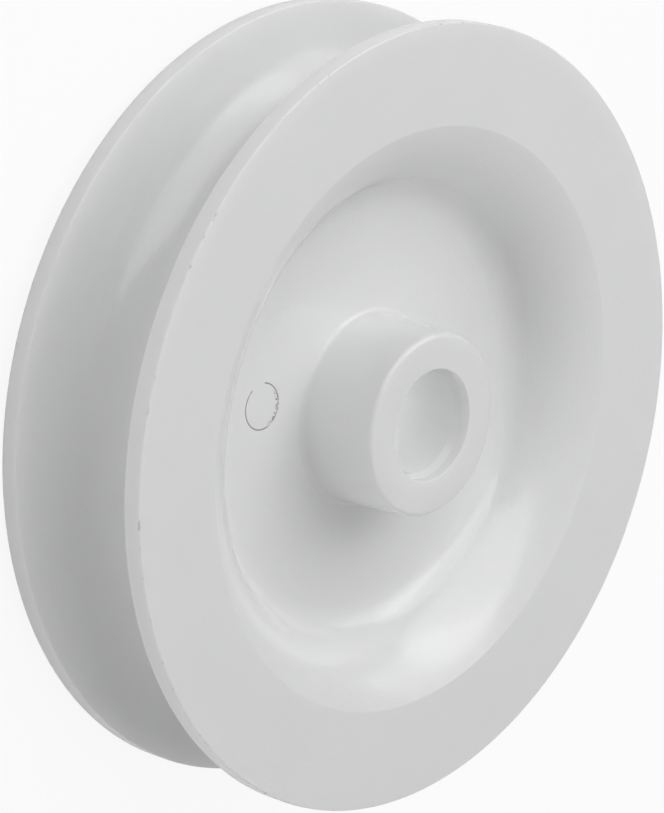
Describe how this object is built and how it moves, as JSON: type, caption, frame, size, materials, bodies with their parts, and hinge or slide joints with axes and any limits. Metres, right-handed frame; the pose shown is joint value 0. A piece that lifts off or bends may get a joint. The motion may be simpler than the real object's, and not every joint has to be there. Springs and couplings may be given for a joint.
{
  "type": "wire rope sheave",
  "caption": "White moulded plastic rope sheave: a rim with a deep round-bottomed groove, a web dished from both sides and a plain-bored hub a little proud of it.",
  "frame": {"origin": "centre of the bore, on the wheel's mid-plane", "axes": "+Z along the wheel's axis; the wheel lies flat on its hub's lower end face, at z = -20.1 mm; X and Y are any two radii at right angles"},
  "size_m": [0.15, 0.15, 0.0402],
  "materials": {
    "moulded_plastic": "natural white, slightly translucent, satin as moulded"
  },
  "bodies": {
    "root": {"sheave": "moulded_plastic"}
  },
  "joints": []
}
